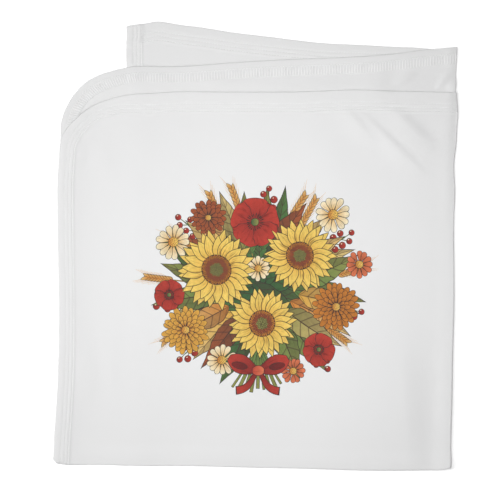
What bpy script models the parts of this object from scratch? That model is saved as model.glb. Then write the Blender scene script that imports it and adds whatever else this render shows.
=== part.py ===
"""A knitted cotton baby blanket, folded in four and lying flat. Metres, +Z up, origin under its middle.

The flat cloth has a left end with two rounded corners, a square end, and two long sides. Its lower half
is folded under along the foot, then its right half is folded behind along the side fold. So four layers
lie on each other: front, under, inner and back, from the top down. u runs along the flat cloth from the
rounded end to the square end, and v from the front long side to the under long side.
"""

import math

import bmesh
import bpy
from mathutils import Vector

# Cloth
FABRIC = 0.0008  # thickness of the knitted cloth
AIR = 0.0003  # left between layers that rest on each other
PITCH = FABRIC + AIR
HEM_WIDTH = 0.017  # depth of the turned edge
CORNER_RADIUS = 0.078  # the two rounded corners

# Folded outline, seen from above. Rises are measured up from the front layer's own top edge.
FRONT_WIDTH = 0.406  # rounded end to side fold
BACK_WIDTH = 0.3375  # side fold to square end, behind
FRONT_HEIGHT = 0.380  # top edge of the front layer to the foot fold, at the left
UNDER_RISE = 0.028  # the under layer stands above the front one, at the left
FOLD_RISE = 0.047  # the same at the side fold
SQUARE_RISE = 0.0715  # the same at the square end, on the inner layer
BACK_RISE = 0.014  # top corner of the back layer, behind
LEFT_FLARE = 0.008  # the left edge runs out at the foot
FOLD_LEAN = 0.0075  # the side fold runs in at the foot
FOLD_STEP = 0.0015  # the under layer's top lies this far in from the front's
FOOT_DROP = 0.008  # the foot is lower at the side fold
FOOT_TUCK = 0.0014  # the lower pair's foot is hidden behind the upper pair's

# How the layers settle
OPENING = 0.0015  # a fold springs open this much more than the cloth lies flat
OPENING_REACH = 0.022  # and closes over this distance
MARGIN = 0.004  # a layer keeps its height this far past the edge that lifts it
RAMP = 0.025  # and comes down over this distance
SAG = 0.040  # the upper pair comes down to the floor over this distance

# Fineness
BEND_STEPS = 8  # around a fold
OPENING_STEPS = 4  # beside a fold
SLOPE = 0.0105  # the widest stretch between two stations where a layer rises or falls
WIDEST = 0.066  # and where it lies flat

LIGHT_COTTON = (0.80, 0.80, 0.80, 1.0)

# Flat cloth: a first quarter, the bend of the fold, and a second quarter, along u and along v.
SIDE_BEND = math.pi * (3 * PITCH + OPENING) / 2
FOOT_BEND = math.pi * (PITCH + OPENING) / 2
UNDER_HEIGHT = FRONT_HEIGHT + UNDER_RISE
LENGTHS_U = (FRONT_WIDTH, SIDE_BEND, BACK_WIDTH)
LENGTHS_V = (FRONT_HEIGHT, FOOT_BEND, UNDER_HEIGHT)
CLOTH_WIDTH = sum(LENGTHS_U)
CLOTH_HEIGHT = sum(LENGTHS_V)
SQUARE_X = FRONT_WIDTH - BACK_WIDTH

# Where the nine crossings of the flat cloth's ends, sides and folds lie, seen from above:
# rows are the front side, the foot fold and the under side; columns the rounded end, side fold, square end.
LEFT_FOOT = Vector((-LEFT_FLARE, -FRONT_HEIGHT))
FOLD_FOOT = Vector((FRONT_WIDTH - FOLD_LEAN, -FRONT_HEIGHT - FOOT_DROP))
FOOT_SLOPE = (FOLD_FOOT.y - LEFT_FOOT.y) / (FOLD_FOOT.x - LEFT_FOOT.x)
SQUARE_FOOT = Vector((SQUARE_X, LEFT_FOOT.y + FOOT_SLOPE * (SQUARE_X - LEFT_FOOT.x) + FOOT_TUCK))
CROSSINGS = (
    (Vector((0, 0)), Vector((FRONT_WIDTH, 0)), Vector((SQUARE_X, BACK_RISE))),
    (LEFT_FOOT, FOLD_FOOT, SQUARE_FOOT),
    (Vector((0, UNDER_RISE)), Vector((FRONT_WIDTH - FOLD_STEP, FOLD_RISE)), Vector((SQUARE_X, SQUARE_RISE))),
)


def eased(share):
    """0 to 1 with no corner at either end."""
    share = min(max(share, 0), 1)
    return share * share * (3 - 2 * share)


def held_up(distance, reach, ramp):
    """1 up to reach, then falling to 0 over the ramp."""
    return 1 - eased((distance - reach) / ramp)


def height_of_line(start, end, x):
    """y of the line through two places, at x."""
    return start.y + (end.y - start.y) * (x - start.x) / (end.x - start.x)


def side_of_line(start, end, y):
    """x of the line through two places, at y."""
    return start.x + (end.x - start.x) * (y - start.y) / (end.y - start.y)


def from_outline(from_end, from_side, radius):
    """Distance in from a corner's outline, which is rounded to the radius."""
    if from_end < radius and from_side < radius:
        return radius - math.hypot(radius - from_end, radius - from_side)
    return min(from_end, from_side)


def layer_heights(x, y):
    """Heights of the middle of the front, under, inner and back layers, seen from above at x, y."""
    front_row, foot_row, under_row = CROSSINGS
    from_left = x - side_of_line(front_row[0], foot_row[0], y)
    from_square = x - side_of_line(under_row[2], foot_row[2], y)
    from_fold = side_of_line(front_row[1], foot_row[1], y) - x
    from_foot = y - height_of_line(foot_row[0], foot_row[1], x)
    below_front = height_of_line(front_row[0], front_row[1], x) - y
    below_under = height_of_line(under_row[0], under_row[1], x) - y
    below_inner = height_of_line(under_row[2], under_row[1], x) - y
    below_back = height_of_line(front_row[2], front_row[1], x) - y

    hem_reach = HEM_WIDTH + MARGIN
    foot_opening = OPENING * held_up(from_foot, 0, OPENING_REACH)
    fold_opening = OPENING * held_up(from_fold, 0, OPENING_REACH)

    back = FABRIC / 2
    over_back = held_up(-below_back, MARGIN, RAMP)
    back_hem = over_back * held_up(min(from_square, below_back), hem_reach, RAMP)
    inner_hem = held_up(min(from_square, below_inner), hem_reach, RAMP)
    inner = back + PITCH * (over_back + back_hem + inner_hem) + foot_opening

    over_inner = held_up(-from_square, MARGIN, SAG)
    under = back + over_inner * (inner + PITCH + fold_opening - back)

    under_hem = held_up(from_outline(from_left, below_under, CORNER_RADIUS), hem_reach, RAMP)
    front_hem = held_up(from_outline(from_left, below_front, CORNER_RADIUS), hem_reach, RAMP)
    front = under + PITCH * (1 + under_hem + front_hem) + foot_opening
    return front, under, inner, back


def quarter_and_turn(place, lengths):
    """Where a flat distance falls: 0 to 1 over the first quarter and 1 to 2 over the second, and how far
    round the fold between them it is, from 0 to pi."""
    first, bend, second = lengths
    if place <= first:
        return place / first, 0
    if place < first + bend:
        return 1, math.pi * (place - first) / bend
    return 1 + (place - first - bend) / second, math.pi


def seen_from_above(across, down):
    """x, y of a place given by its quarters across and down, between the four crossings round it."""
    column = min(int(across), 1)
    row = min(int(down), 1)
    across -= column
    down -= row
    top = CROSSINGS[row][column].lerp(CROSSINGS[row][column + 1], across)
    bottom = CROSSINGS[row + 1][column].lerp(CROSSINGS[row + 1][column + 1], across)
    return top.lerp(bottom, down)


def folded(u, v, inward=0):
    """Where the flat cloth's point u, v lies once folded. inward is the distance to its wrong side."""
    across, side_turn = quarter_and_turn(u, LENGTHS_U)
    down, foot_turn = quarter_and_turn(v, LENGTHS_V)
    x, y = seen_from_above(across, down)
    front, under, inner, back = layer_heights(x, y)
    front -= inward
    under += inward
    inner -= inward
    back += inward
    upper = (1 + math.cos(side_turn)) / 2  # 1 in the front and under layers, 0 in the lower pair
    outer = (1 + math.cos(foot_turn)) / 2  # 1 in the front and back layers, 0 in the pair between
    z = upper * (outer * front + (1 - outer) * under) + (1 - upper) * (outer * back + (1 - outer) * inner)
    side_radius = (outer * (front - back) + (1 - outer) * (under - inner)) / 2
    foot_radius = (upper * (front - under) + (1 - upper) * (inner - back)) / 2
    return Vector((x + side_radius * math.sin(side_turn), y - foot_radius * math.sin(foot_turn), z))


def divided(start, end, widest):
    """From start to end in even steps no longer than widest."""
    steps = math.ceil((end - start) / widest)
    return [start + (end - start) * step / steps for step in range(steps + 1)]


def along_one_way(lengths, first_slope, last_slope):
    """Stations along u or v: close together over the hem and the first slope, beside and round the fold,
    and over the last slope and hem; wide between."""
    first, bend, second = lengths
    whole = sum(lengths)
    fold_end = first + bend
    runs = [
        divided(0, HEM_WIDTH, SLOPE),
        divided(HEM_WIDTH, CORNER_RADIUS, SLOPE),
        divided(CORNER_RADIUS, first_slope, SLOPE),
        divided(first_slope, first - OPENING_REACH, WIDEST),
        divided(first - OPENING_REACH, first, OPENING_REACH / OPENING_STEPS),
        divided(first, fold_end, bend / BEND_STEPS),
        divided(fold_end, fold_end + OPENING_REACH, OPENING_REACH / OPENING_STEPS),
        divided(fold_end + OPENING_REACH, whole - last_slope, WIDEST),
        divided(whole - last_slope, whole - CORNER_RADIUS, SLOPE),
        divided(whole - CORNER_RADIUS, whole - HEM_WIDTH, SLOPE),
        divided(whole - HEM_WIDTH, whole, SLOPE),
    ]
    return [0, *(place for run in runs for place in run[1:])]


def stations_u():
    settled = SQUARE_X + HEM_WIDTH + MARGIN + RAMP
    return along_one_way(LENGTHS_U, settled, CORNER_RADIUS + SLOPE)


def stations_v():
    settled = SQUARE_RISE - BACK_RISE + HEM_WIDTH + MARGIN + RAMP
    return along_one_way(LENGTHS_V, CORNER_RADIUS + SLOPE, settled)


def rounded(u, v):
    """Moves a place in either rounded corner's square so that the square's rim becomes the arc."""
    from_side = min(v, CLOTH_HEIGHT - v)
    if u >= CORNER_RADIUS or from_side >= CORNER_RADIUS:
        return u, v
    a = 1 - u / CORNER_RADIUS
    b = 1 - from_side / CORNER_RADIUS
    if a >= b:
        rim, angle = a, math.pi / 4 * b / a
    else:
        rim, angle = b, math.pi / 2 - math.pi / 4 * a / b
    new_u = CORNER_RADIUS * (1 - rim * math.cos(angle))
    new_from_side = CORNER_RADIUS * (1 - rim * math.sin(angle))
    return new_u, new_from_side if v < CLOTH_HEIGHT / 2 else CLOTH_HEIGHT - new_from_side


def cloth_object(name, columns, rows, place, inside, material, collection):
    """A sheet of cloth: a grid whose point in column i, row j goes to place(columns[i], rows[j]), kept
    where inside is true of a face's middle."""
    mesh = bmesh.new()
    bmesh.ops.create_grid(mesh, x_segments=len(columns) - 1, y_segments=len(rows) - 1, size=0.5)
    for vertex in mesh.verts:
        i = round((vertex.co.x + 0.5) * (len(columns) - 1))
        j = round((vertex.co.y + 0.5) * (len(rows) - 1))
        vertex.co = (columns[i], rows[j], 0)
    outside = [face for face in mesh.faces if not inside(*face.calc_center_median().xy)]
    bmesh.ops.delete(mesh, geom=outside, context="FACES")
    for vertex in mesh.verts:
        vertex.co = place(vertex.co.x, vertex.co.y)
    data = bpy.data.meshes.new(name)
    mesh.to_mesh(data)
    mesh.free()
    data.materials.append(material)
    data.shade_smooth()
    cloth = bpy.data.objects.new(name, data)
    collection.objects.link(cloth)
    same_way = cloth.modifiers.new("every sheet split the same way", "TRIANGULATE")
    same_way.quad_method = "FIXED"
    wall = cloth.modifiers.new("cloth thickness", "SOLIDIFY")
    wall.thickness = FABRIC
    wall.offset = 0
    wall.use_even_offset = True
    return cloth


def panel_place(u, v):
    return folded(*rounded(u, v))


def hem_place(u, v):
    return folded(*rounded(u, v), inward=PITCH)


def everywhere(u, v):
    return True


def on_rounded_end(u, v):
    """In the hem along the rounded end and its two arcs, before the corners are rounded."""
    return u < CORNER_RADIUS and min(u, v, CLOTH_HEIGHT - v) < HEM_WIDTH


def side_hem_columns():
    """Along a long side, between the rounded corner and the square end's hem, clear of both by AIR."""
    start = CORNER_RADIUS + AIR
    end = CLOTH_WIDTH - HEM_WIDTH - AIR
    return [start, *(u for u in stations_u() if start + AIR < u < end - AIR), end]


def cotton_material():
    material = bpy.data.materials.new("white cotton knit")
    material.use_nodes = True
    shader = material.node_tree.nodes["Principled BSDF"]
    shader.inputs["Base Color"].default_value = LIGHT_COTTON
    shader.inputs["Roughness"].default_value = 0.9
    shader.inputs["Metallic"].default_value = 0.0
    return material


def stand_on_origin(pieces):
    """Moves the pieces so that the origin is under the middle of their box."""
    bpy.context.view_layer.update()
    graph = bpy.context.evaluated_depsgraph_get()
    corners = [Vector(corner) for piece in pieces for corner in piece.evaluated_get(graph).bound_box]
    low = Vector(min(corner[axis] for corner in corners) for axis in range(3))
    high = Vector(max(corner[axis] for corner in corners) for axis in range(3))
    middle = (low + high) / 2
    for piece in pieces:
        piece.location = (-middle.x, -middle.y, -low.z)


def build():
    for old in list(bpy.data.objects):
        bpy.data.objects.remove(old)
    collection = bpy.data.collections.new("folded baby blanket")
    bpy.context.scene.collection.children.link(collection)
    cotton = cotton_material()

    def make(name, columns, rows, place=hem_place, inside=everywhere):
        return cloth_object(name, columns, rows, place, inside, cotton, collection)

    across, down, beside = stations_u(), stations_v(), side_hem_columns()
    front_rows = [v for v in down if v < HEM_WIDTH + AIR]
    under_rows = [v for v in down if v > CLOTH_HEIGHT - HEM_WIDTH - AIR]
    square_columns = [u for u in across if u > CLOTH_WIDTH - HEM_WIDTH - AIR]
    pieces = [
        make("knit_panel", across, down, panel_place),
        make("hem_rounded_end", across, down, inside=on_rounded_end),
        make("hem_front_side", beside, front_rows),
        make("hem_under_side", beside, under_rows),
        make("hem_square_end", square_columns, down),
    ]
    stand_on_origin(pieces)


build()
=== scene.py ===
import math

import bpy
import numpy as np
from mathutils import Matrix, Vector


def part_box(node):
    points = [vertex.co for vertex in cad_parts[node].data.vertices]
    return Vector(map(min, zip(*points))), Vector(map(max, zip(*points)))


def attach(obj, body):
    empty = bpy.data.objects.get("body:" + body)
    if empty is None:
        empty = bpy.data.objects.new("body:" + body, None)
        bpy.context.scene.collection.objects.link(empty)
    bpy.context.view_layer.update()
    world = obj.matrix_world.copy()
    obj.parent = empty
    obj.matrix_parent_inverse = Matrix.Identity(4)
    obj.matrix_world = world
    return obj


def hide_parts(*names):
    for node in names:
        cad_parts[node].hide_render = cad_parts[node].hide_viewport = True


# White cotton baby blanket, folded in four: the looks, in metres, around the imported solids.
# Names: u runs along the flat cloth from its rounded end to its square end, v from the front side to
# the under side. "across" and "down" count the folded quarters, 0 to 2. "inward" is towards the wrong
# side of the cloth, "depth" is the distance in from the cloth's edge.

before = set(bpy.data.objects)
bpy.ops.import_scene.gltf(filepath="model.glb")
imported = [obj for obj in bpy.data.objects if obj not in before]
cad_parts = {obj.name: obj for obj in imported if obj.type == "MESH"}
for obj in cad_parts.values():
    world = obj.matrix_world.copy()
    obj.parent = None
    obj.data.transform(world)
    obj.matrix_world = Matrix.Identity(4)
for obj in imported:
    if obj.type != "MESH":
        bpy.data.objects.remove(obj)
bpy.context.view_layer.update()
panelLow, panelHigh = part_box("knit_panel")

cloth = {
    "fabric": 0.0008,  # thickness of the knit
    "air": 0.0002,  # between layers that rest on each other
    "frontWidth": 0.406,  # rounded end to side fold
    "backWidth": 0.3375,  # side fold to square end
    "frontHeight": 0.380,  # front edge to foot fold
    "underHeight": 0.408,  # foot fold to under edge
    "sideBend": 0.0075,  # cloth taken up by the side fold
    "pinch": 0.6,  # how far the side fold's roll stands out, as a share of a half circle
    "footBend": 0.0041,  # cloth taken up by the foot fold
    "frontCorner": (0.0845, 0.0587),  # rounded corner of the front layer, along u and along v
    "underCorner": (0.0886, 0.0675),  # the same on the under layer
    # Mesh lines of the single cloth: their distances from where it starts under a hem, then runs along
    # u and along v, each as where it ends and its step. They are close where there are creases.
    "near": (0.0, 0.0005, 0.0007, 0.0012, 0.0018, 0.0026, 0.0036, 0.0050, 0.0070, 0.0095),
    "runsU": ((0.0886, 0.0036), (0.112, 0.0036), (0.286, 0.0060), (0.382, 0.0015), (0.4048, 0.0019),
              (0.406, 0.0006), (0.4135, 0.00075), (0.4147, 0.0006), (0.4375, 0.0024), (0.691, 0.0095),
              (0.721, 0.0050)),
    "runsV": ((0.0587, 0.0016), (0.104, 0.0016), (0.124, 0.0030), (0.335, 0.0060), (0.356, 0.0036),
              (0.3792, 0.0020), (0.380, 0.0004), (0.3841, 0.00041), (0.3849, 0.0004), (0.4081, 0.0024),
              (0.7246, 0.0095)),
    "farCorner": 0.027,  # the inner layer's square corner, with steps of its own
    "lastStep": 0.0024,
}

# Where the flat cloth's corners and fold ends lie, seen from above.
left, right, top, foot = panelLow.x, panelHigh.x, panelHigh.y, panelLow.y
plan = {
    "frontLeft": (left + 0.0080, top - 0.0730),
    "frontFold": (right - 0.0031, top - 0.0728),
    "frontSquare": (left + 0.0760, top - 0.0590),
    "footLeft": (left + 0.0005, foot + 0.0120),
    "footFold": (right - 0.0100, foot + 0.0030),
    "footSquare": (left + 0.0768, foot + 0.0110),
    "underLeft": (left + 0.0080, top - 0.0455),
    "underFold": (right - 0.0020, top - 0.0256),
    "underSquare": (left + 0.0757, top - 0.0043),
}

# Each edge of a quarter: its start, its end, and the axis it bows along, 0 to the right, 1 upwards.
edges = {
    "frontEdge": ("frontLeft", "frontFold", 1),
    "footFront": ("footLeft", "footFold", 1),
    "underEdge": ("underLeft", "underFold", 1),
    "backEdge": ("frontFold", "frontSquare", 1),
    "footBack": ("footFold", "footSquare", 1),
    "innerEdge": ("underFold", "underSquare", 1),
    "leftEdge": ("frontLeft", "footLeft", 0),
    "leftUnder": ("footLeft", "underLeft", 0),
    "sideFold": ("frontFold", "footFold", 0),
    "sideFoldUnder": ("footFold", "underFold", 0),
    "squareBack": ("frontSquare", "footSquare", 0),
    "squareInner": ("footSquare", "underSquare", 0),
}

# How each edge bows away from the straight line between its ends: share of its length, and metres.
bows = {
    "frontEdge": (
        (0, 0), (0.03, -0.00237), (0.07, -0.00157), (0.11, -0.00164), (0.15, -0.00153), (0.2, -0.00131),
        (0.28, 0.00062), (0.4, 0.00062), (0.5, 0.00056), (0.62, 0.00091), (0.74, 0.00271),
        (0.85, 0.00139), (0.93, 0.00075), (1, 0),
    ),
    "footFront": (
        (0, 0), (0.008, -0.003), (0.016, -0.0035), (0.03, -0.00437), (0.055, -0.00496), (0.1, -0.00431),
        (0.2, -0.00409), (0.33, -0.00312), (0.5, -0.00338), (0.65, -0.00315), (0.8, -0.00338),
        (0.92, -0.00227), (0.97, -0.00188), (0.988, -0.0012), (1, 0),
    ),
    "underEdge": (
        (0, 0), (0.03, 0.00173), (0.06, 0.00232), (0.09, 0.00085), (0.12, -0.00117), (0.16, -0.00268),
        (0.22, -0.00452), (0.3, -0.00629), (0.4, -0.00551), (0.5, -0.00472), (0.62, -0.00487),
        (0.75, -0.00535), (0.86, -0.00357), (0.93, -0.00123), (1, 0),
    ),
    "backEdge": ((0, 0), (0.5, 0.001), (1, 0)),
    "footBack": ((0, 0), (0.5, 0.0006), (1, 0)),
    "innerEdge": (
        (0, 0), (0.04, -0.0033), (0.1, -0.00332), (0.18, -0.00371), (0.28, -0.00398), (0.4, -0.0046),
        (0.5, -0.00306), (0.6, -0.00098), (0.7, 0.00124), (0.78, 0.00389), (0.84, 0.00506),
        (0.88, 0.00658), (0.91, 0.00687), (0.94, 0.00452), (0.97, 0.00253), (1, 0),
    ),
    "leftEdge": (
        (0, 0), (0.17, -0.00029), (0.24, -0.00138), (0.32, -0.00088), (0.42, 0.00037), (0.53, 0.00197),
        (0.64, 0.00299), (0.75, 0.00308), (0.85, 0.00207), (0.93, 0.00056), (1, 0),
    ),
    "leftUnder": (
        (0, 0), (0.03, 0.0011), (0.13, 0.0042), (0.23, 0.005), (0.33, 0.0053), (0.44, 0.0045),
        (0.54, 0.0032), (0.64, 0.002), (0.79, 0.0011), (1, 0),
    ),
    "sideFold": (
        (0, 0), (0.03, 0.00111), (0.065, 0.00202), (0.1, 0.00121), (0.13, 0.00086), (0.16, -0.00032),
        (0.19, -0.00137), (0.25, -0.00001), (0.32, -0.00034), (0.45, 0.00028), (0.58, 0.00104),
        (0.7, 0.0005), (0.82, 0.00046), (0.92, 0.00016), (0.97, 0.00042), (0.988, 0.0005), (1, 0),
    ),
    "sideFoldUnder": ((0, 0), (0.5, -0.0017), (0.84, -0.0018), (0.92, -0.0007), (1, 0)),
    "squareBack": ((0, 0), (1, 0)),
    "squareInner": (
        (0, 0), (0.2, -0.00027), (0.6, -0.00027), (0.92, -0.00027), (0.96, -0.00029), (0.98, 0.00028),
        (1, 0),
    ),
}

hem = {
    "rows": (0.0072, 0.0112, 0.0150),  # the needle rows' depths
    "grooves": (0.00011, 0.00017, 0.00038),  # how deep each row pulls the face in
    "grooveWidth": 0.00050,
    "ridge": 0.00017,  # how far the face stands up before each row
    "ridgeBefore": 0.0019,
    "ridgeWidth": 0.0009,
    "turned": 0.0160,  # depth of the raw edge under the face
    "rawEdge": (0.0006, 0.0022),  # the face comes down from this far before the raw edge, over this way
    "crossing": (0.0030, 0.0060),  # and these where one hem crosses another
    "gap": 0.00070,  # middle of one layer to middle of the other
    "puff": 0.00018,  # the edge's roll stands this much fuller
    "frontWiden": (0.0045, 0.035, 0.060),  # how much deeper the front side's hem gets, from which u, how soon
    "underWiden": (0.0020, 0.45, 0.2),  # and the under side's
    "easeIn": 0.04,  # over this way the cloth inside makes up for it
    "fabric": 0.00055,  # pressed thinner by the stitches
    "stitch": 0.00288,  # length of one stitch
    "pucker": 0.00010,  # how far the cloth rises between stitches
    "puckerWidth": 0.0011,
    # Mesh lines across the face and across the turned cloth, in millimetres from the edge.
    "face": (15.05, 14.75, 14.4, 13.9, 13.2, 12.3, 11.7, 11.35, 11.05, 10.7, 10.1, 9.2, 8.2, 7.65, 7.35,
             7.05, 6.7, 6.0, 4.8, 3.5, 2.3, 1.3),
    "beneath": (1.3, 4.5, 8.5, 12.7, 16.0),
    "flange": 0.0006,  # the single cloth runs on this far under the hem
    "sunk": 0.00025,  # and lies this much deeper there
}
panelEdge = hem["rows"][-1] - hem["flange"]

settle = {
    "cell": 0.00125,  # of the height map
    "margin": 0.03,
    "inside": 0.003,  # past the folds, heights are read this far inside them
    # How far each layer's height carries on over the one it lies on, and how softly, across and down.
    "inner": (0.002, 0.0040),
    "under": ((0.005, 0.002), (0.009, 0.0040)),
    "front": (0.0015, 0.0040),
    "sag": ((0.022, 0.003), (0.016, 0.005)),  # the upper pair coming down to the floor
    "foldOpening": 0.0020,  # the side fold springs open
    "foldReach": 0.015,
    "topShare": 0.38,  # but only by this share above the foot
    "footRange": (-0.160, 0.090),  # y where the opening starts to lessen, and how soon
    "foldDroop": 0.0012,  # the upper pair's folds hang a little where nothing lies on them
    "droopReach": 0.009,
    "underDroop": 0.7,  # the under layer's share of it
    "topRange": (-0.060, 0.200),  # y where the droop sets in, and how soon
    "footOpening": 0.0012,  # and the foot fold springs open
    "footReach": 0.018,
    "creaseRange": (0.0165, 0.005),  # front creases start this far below its edge, and how soon
    "waves": 0.00012,  # height of the slow waves of a hand-laid cloth
    "rest": 0.0003,  # and the front layer's least height over what it lies on
}

# Soft ridges through both upper layers: start x, y, end x, y, the widths to the left and to the right
# of that way, and the height.
softRidges = (
    (0.060, 0.135, 0.090, 0.050, 0.0220, 0.0220, 0.00080),
    (-0.150, -0.060, -0.148, -0.180, 0.0100, 0.0100, 0.00060),
    (-0.178, -0.060, -0.176, -0.180, 0.0060, 0.0060, 0.00040),
    (-0.165, 0.110, -0.148, 0.070, 0.0080, 0.0080, 0.00060),
    (-0.060, -0.205, 0.100, -0.213, 0.0130, 0.0130, 0.00050),
)

# Creases in the front layer, from the stiff hem's lower edge down, and its soft folds.
frontCreases = (
    (0.088, 0.146, 0.122, 0.105, 0.0050, 0.0130, 0.00150),
    (0.104, 0.141, 0.173, 0.074, 0.0045, 0.0120, 0.00180),
    (0.133, 0.146, 0.183, 0.098, 0.0085, 0.0230, 0.00260),
    (0.145, -0.095, 0.158, -0.235, 0.0210, 0.0800, 0.00340),
    (-0.178, 0.108, -0.186, 0.076, 0.0060, 0.0120, 0.00100),
    (-0.168, -0.098, -0.172, -0.165, 0.0060, 0.0140, 0.00080),
)

# And in the under layer, where it shows.
underCreases = (
    (0.1990, 0.1760, 0.1860, 0.1618, 0.0026, 0.0042, 0.00190),
    (0.2110, 0.1720, 0.2000, 0.1590, 0.0045, 0.0072, 0.00200),
    (0.1680, 0.1808, 0.1410, 0.1655, 0.0028, 0.0060, 0.00170),
    (0.1290, 0.1880, 0.1240, 0.1480, 0.0110, 0.0200, 0.00140),
    (-0.146, 0.170, -0.170, 0.148, 0.0050, 0.0080, 0.00080),
    (-0.060, 0.171, -0.020, 0.168, 0.0060, 0.0090, 0.00050),
)


# 0 to 1 with no corner at either end: s * s * (3 - 2 s).
def eased(share):
    share = np.clip(share, 0, 1)
    return share * share * (3 - 2 * share)


# Natural cubic spline through (share, value) marks; returns a function of share.
def splineThrough(marks):
    at, value = np.array(marks, float).T
    last = len(at) - 1
    if last == 1:
        return lambda share: np.interp(share, at, value)
    gap = np.diff(at)
    matrix, rhs = np.eye(last + 1), np.zeros(last + 1)
    rhs[1:-1] = 6 * np.diff(np.diff(value) / gap)
    for i in range(1, last):
        matrix[i, i - 1 : i + 2] = gap[i - 1], 2 * (gap[i - 1] + gap[i]), gap[i]
    bend = np.linalg.solve(matrix, rhs)

    def read(share):
        share = np.clip(share, at[0], at[-1])
        i = np.clip(np.searchsorted(at, share) - 1, 0, last - 1)
        a, b, width = at[i + 1] - share, share - at[i], gap[i]
        return (
            (bend[i] * a**3 + bend[i + 1] * b**3) / (6 * width)
            + (value[i] / width - bend[i] * width / 6) * a
            + (value[i + 1] / width - bend[i + 1] * width / 6) * b
        )

    return read


# Straight from start to end, plus the bow along one axis.
def edgeCurve(name):
    startName, endName, axis = edges[name]
    start, end, bow = np.array(plan[startName]), np.array(plan[endName]), splineThrough(bows[name])

    def read(share):
        share = np.asarray(share)[..., None]
        out = start + (end - start) * share
        out[..., axis] += bow(share[..., 0])
        return out

    return read


curves = {name: edgeCurve(name) for name in edges}


# A quarter of the cloth between its four edges: the sum of the two straight blends between
# opposite edges, less the straight blend between the four corners.
def coonsPatch(upper, lower, leftSide, rightSide):
    a, b, c, d = (curves[name] for name in (upper, lower, leftSide, rightSide))
    zero, one = np.zeros(()), np.ones(())

    def read(s, t):
        s3, t3 = s[..., None], t[..., None]
        upperCorners = (1 - s3) * a(zero) + s3 * a(one)
        lowerCorners = (1 - s3) * b(zero) + s3 * b(one)
        corners = (1 - t3) * upperCorners + t3 * lowerCorners
        return (1 - t3) * a(s) + t3 * b(s) + (1 - s3) * c(t) + s3 * d(t) - corners

    return read


quarters = {
    "front": coonsPatch("frontEdge", "footFront", "leftEdge", "sideFold"),
    "under": coonsPatch("footFront", "underEdge", "leftUnder", "sideFoldUnder"),
    "back": coonsPatch("backEdge", "footBack", "sideFold", "squareBack"),
    "inner": coonsPatch("footBack", "innerEdge", "sideFoldUnder", "squareInner"),
}

clothWidth = cloth["frontWidth"] + cloth["sideBend"] + cloth["backWidth"]
clothHeight = cloth["frontHeight"] + cloth["footBend"] + cloth["underHeight"]
uMarks = (0, cloth["frontWidth"], cloth["frontWidth"] + cloth["sideBend"], clothWidth)
vMarks = (0, cloth["frontHeight"], cloth["frontHeight"] + cloth["footBend"], clothHeight)


# How many quarters along (0 to 2) a flat place is, and how far round the fold, 0 to pi.
def quarterAndTurn(place, marks):
    quarter = np.interp(place, marks, (0, 1, 1, 2)) + np.minimum(place, 0) / marks[1]
    turn = math.pi * np.clip((place - marks[1]) / (marks[2] - marks[1]), 0, 1)
    return quarter, turn


# x, y of a place given by its quarters, each quarter being its own Coons patch.
def seenFromAbove(across, down):
    firstS, secondS = np.minimum(across, 1), np.maximum(across - 1, 0)
    firstT, secondT = np.minimum(down, 1), np.maximum(down - 1, 0)
    isLeft, isFront = (across <= 1)[..., None], (down <= 1)[..., None]
    leftPair = np.where(isFront, quarters["front"](firstS, firstT), quarters["under"](firstS, secondT))
    rightPair = np.where(isFront, quarters["back"](secondS, firstT), quarters["inner"](secondS, secondT))
    return np.where(isLeft, leftPair, rightPair)


# How far the turned cloth lies behind the face: the gap, plus a roll that is half a sine wave from the
# edge to the first row.
def turnedGap(depth, firstRow=hem["rows"][0]):
    return hem["gap"] + hem["puff"] * np.sin(math.pi * np.clip(depth / firstRow, 0, 1))


# The same to the face itself: a Gaussian groove at each needle row and a ridge before it, and a cosine
# wave of puckers from stitch to stitch.
def hemGap(depth, widen=0.0, along=None):
    rows = np.array(hem["rows"]) + np.asarray(widen)[..., None]
    gap = turnedGap(depth, rows[..., 0])
    for i, groove in enumerate(hem["grooves"]):
        away = depth - rows[..., i]
        gap = gap - groove * np.exp(-((away / hem["grooveWidth"]) ** 2))
        gap = gap + hem["ridge"] * np.exp(-(((away + hem["ridgeBefore"]) / hem["ridgeWidth"]) ** 2))
        if along is not None:
            wave = np.cos(2 * math.pi * along / hem["stitch"])
            gap = gap - hem["pucker"] * wave * np.exp(-((away / hem["puckerWidth"]) ** 2))
    return gap


# 1 over the turned cloth, easing to 0 past the raw edge.
def overTurned(depth, widen, before, way):
    return 1 - eased((depth - hem["turned"] - widen + before) / way)


# How far the face stands up over its own turned edge.
def raisedBy(depth):
    return hemGap(depth) * overTurned(depth, 0.0, *hem["rawEdge"])


# The same where one hem is turned over another: smooth, and easing off over a longer way.
def raisedByCrossing(depth, widen=0.0):
    return 2 * hem["gap"] * overTurned(depth, widen, *hem["crossing"])


# Heights over the plan on square cells, read between cells in straight lines.
class HeightMap:

    def __init__(self):
        self.low = np.array((left, foot)) - settle["margin"]
        size = np.array((right, top)) + settle["margin"] - self.low
        self.shape = tuple((np.ceil(size / settle["cell"]).astype(int) + 1)[::-1])

    def cells(self, xy):
        return (xy - self.low) / settle["cell"]

    # 1 in every cell that has a point.
    def marked(self, xy):
        out = np.zeros(self.shape)
        index = np.rint(self.cells(xy)).astype(int).reshape(-1, 2)
        out[index[:, 1], index[:, 0]] = 1
        return out

    def read(self, field, xy):
        place = np.clip(self.cells(xy), 0, np.array(self.shape[::-1]) - 1.001)
        i = place.astype(int)
        x, y = i[..., 0], i[..., 1]
        f = place - i
        fx, fy = f[..., 0], f[..., 1]
        low = field[y, x] * (1 - fx) + field[y, x + 1] * fx
        high = field[y + 1, x] * (1 - fx) + field[y + 1, x + 1] * fx
        return low * (1 - fy) + high * fy

    def grid(self):
        y, x = np.mgrid[0 : self.shape[0], 0 : self.shape[1]]
        return np.stack((x, y), -1) * settle["cell"] + self.low


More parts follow.
